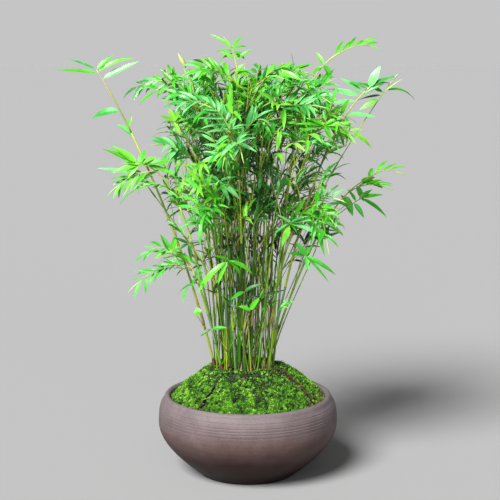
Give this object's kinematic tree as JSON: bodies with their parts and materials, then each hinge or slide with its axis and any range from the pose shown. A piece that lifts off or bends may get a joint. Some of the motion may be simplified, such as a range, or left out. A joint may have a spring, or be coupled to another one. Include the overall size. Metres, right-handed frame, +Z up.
{
  "type": "potted bamboo",
  "caption": "Clump of dwarf bamboo in a round low stoneware bowl: slim upright canes fan out into a wide crown of lance-shaped leaves over a mossy mound.",
  "frame": {"origin": "centre of the bowl's flat round underside, on the surface that it stands on", "axes": "+Z up; the pictured front faces -Y, and +X is to the right of that view"},
  "size_m": [0.313, 0.2315, 0.4003],
  "materials": {
    "stoneware": "matte",
    "soil": "rough",
    "moss": "soft",
    "culm": "satin",
    "leaf": "satin"
  },
  "bodies": {
    "root": {"bowl": "stoneware", "culm_far_left": "culm", "culm_far_right": "culm", "culm_heart_1": "culm", "culm_inner_1": "culm", "culm_inner_2": "culm", "culm_inner_3": "culm", "culm_inner_4": "culm", "culm_inner_5": "culm", "culm_inner_6": "culm", "culm_inner_7": "culm", "culm_inner_8": "culm", "culm_left_arch": "culm", "culm_left_bud": "culm", "culm_low_left": "culm", "culm_low_right": "culm", "culm_shoulder_1": "culm", "culm_shoulder_2": "culm", "culm_shoulder_3": "culm", "culm_shoulder_4": "culm", "culm_shoulder_5": "culm", "culm_shoulder_6": "culm", "culm_skirt_1": "culm", "culm_skirt_2": "culm", "culm_skirt_3": "culm", "culm_skirt_4": "culm", "culm_top": "culm", "culm_top_right": "culm", "culm_upper_1": "culm", "culm_upper_2": "culm", "culm_upper_3": "culm", "culm_upper_4": "culm", "moss_back": "moss", "moss_front": "moss", "moss_left": "moss", "moss_right": "moss", "soil": "soil", "spray_far_left": "leaf", "spray_far_right": "leaf", "spray_heart_1": "leaf", "spray_left_arch": "leaf", "spray_left_bud": "leaf", "spray_low_left": "leaf", "spray_low_right": "leaf", "spray_shoulder_1": "leaf", "spray_shoulder_2": "leaf", "spray_shoulder_3": "leaf", "spray_shoulder_4": "leaf", "spray_shoulder_5": "leaf", "spray_shoulder_6": "leaf", "spray_skirt_1": "leaf", "spray_skirt_2": "leaf", "spray_skirt_3": "leaf", "spray_skirt_4": "leaf", "spray_top": "leaf", "spray_top_right": "leaf", "spray_upper_1": "leaf", "spray_upper_2": "leaf", "spray_upper_3": "leaf", "spray_upper_4": "leaf"}
  },
  "joints": []
}
